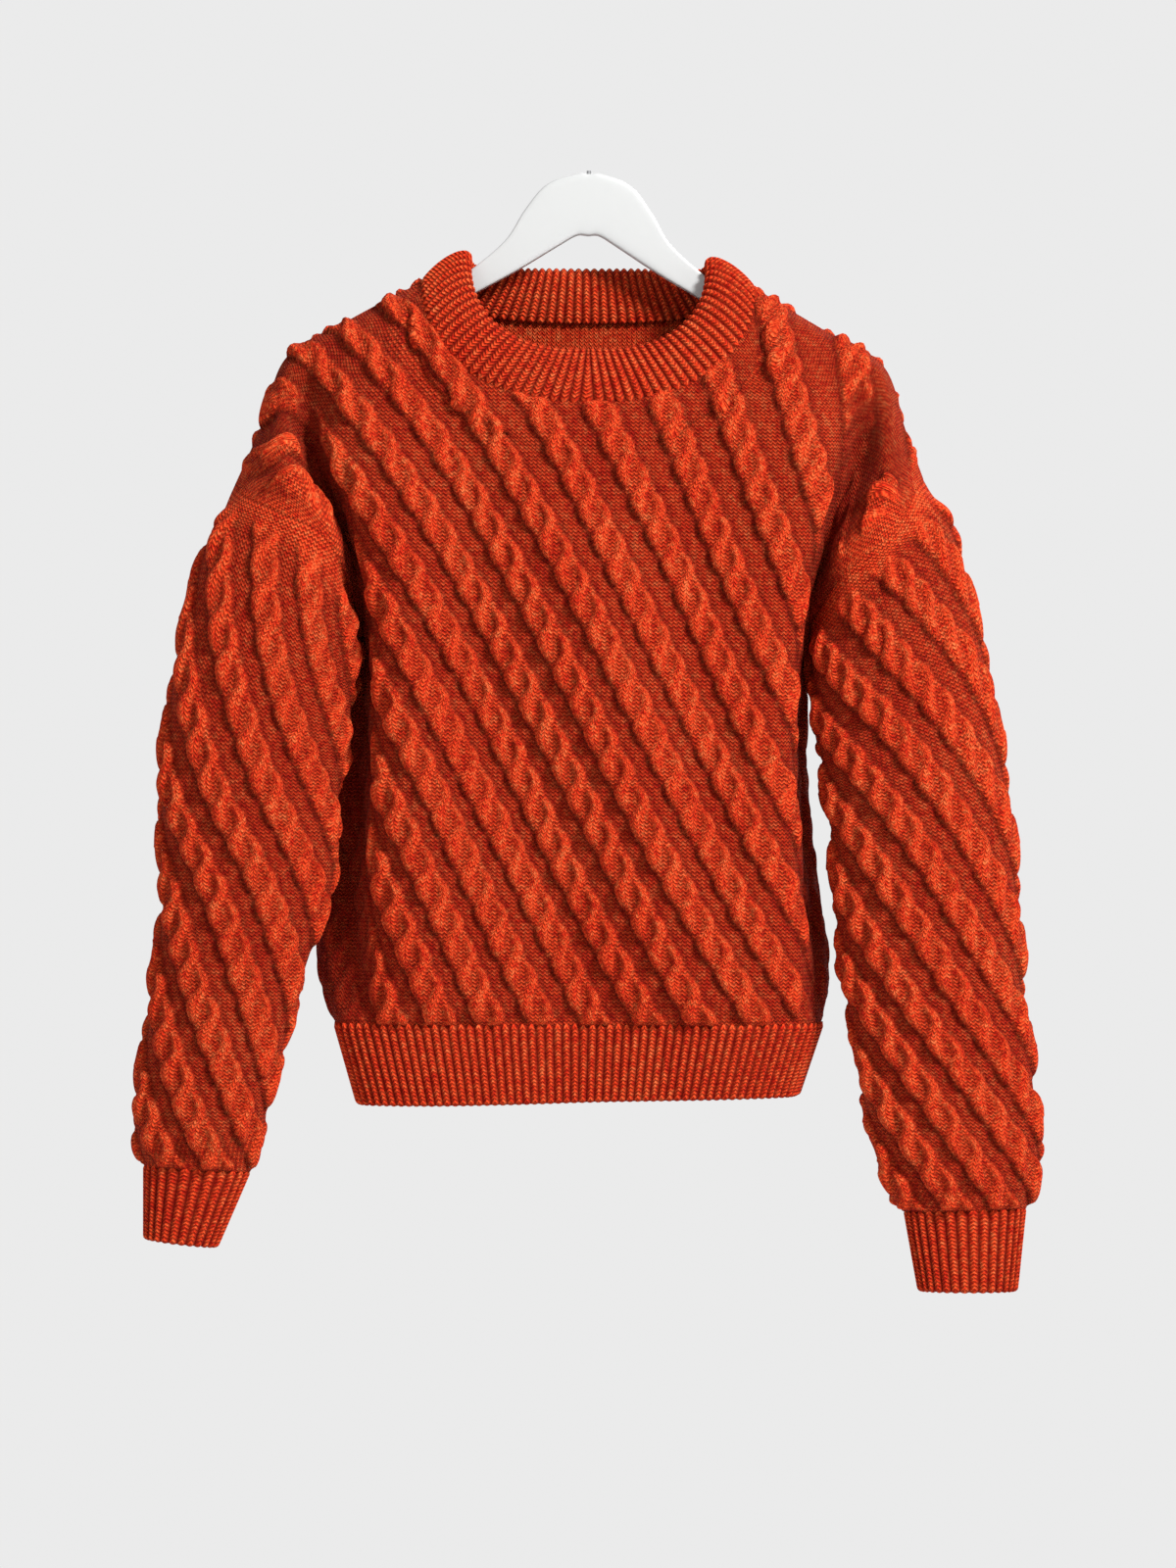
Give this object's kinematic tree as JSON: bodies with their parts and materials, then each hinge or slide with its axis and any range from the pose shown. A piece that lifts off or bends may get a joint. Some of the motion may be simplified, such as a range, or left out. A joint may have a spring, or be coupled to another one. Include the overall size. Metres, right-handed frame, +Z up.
{
  "type": "cable-knit sweater on a hanger",
  "caption": "Chunky cable-knit crew-neck sweater with drop shoulders, hanging from a plain hanger; neck, hem and cuffs are open.",
  "frame": {"origin": "centre of the hanger's top, where its hook starts", "axes": "+Z up; the front of the sweater faces -Y; +X is to the right of someone who looks at the front"},
  "size_m": [0.6463, 0.1207, 0.7965],
  "materials": {
    "wool_knit": "burnt orange heathered wool, cable knit",
    "wool_rib": "burnt orange heathered wool, two-stitch rib",
    "hanger_plastic": "white satin plastic",
    "hook_wire": "plain steel wire"
  },
  "bodies": {
    "root": {"front": "wool_knit", "back": "wool_knit", "sleeve_left": "wool_knit", "sleeve_right": "wool_knit", "neckband": "wool_rib", "hem_rib": "wool_rib", "cuff_left": "wool_rib", "cuff_right": "wool_rib", "hanger": "hanger_plastic", "hook_stub": "hook_wire"}
  },
  "joints": []
}
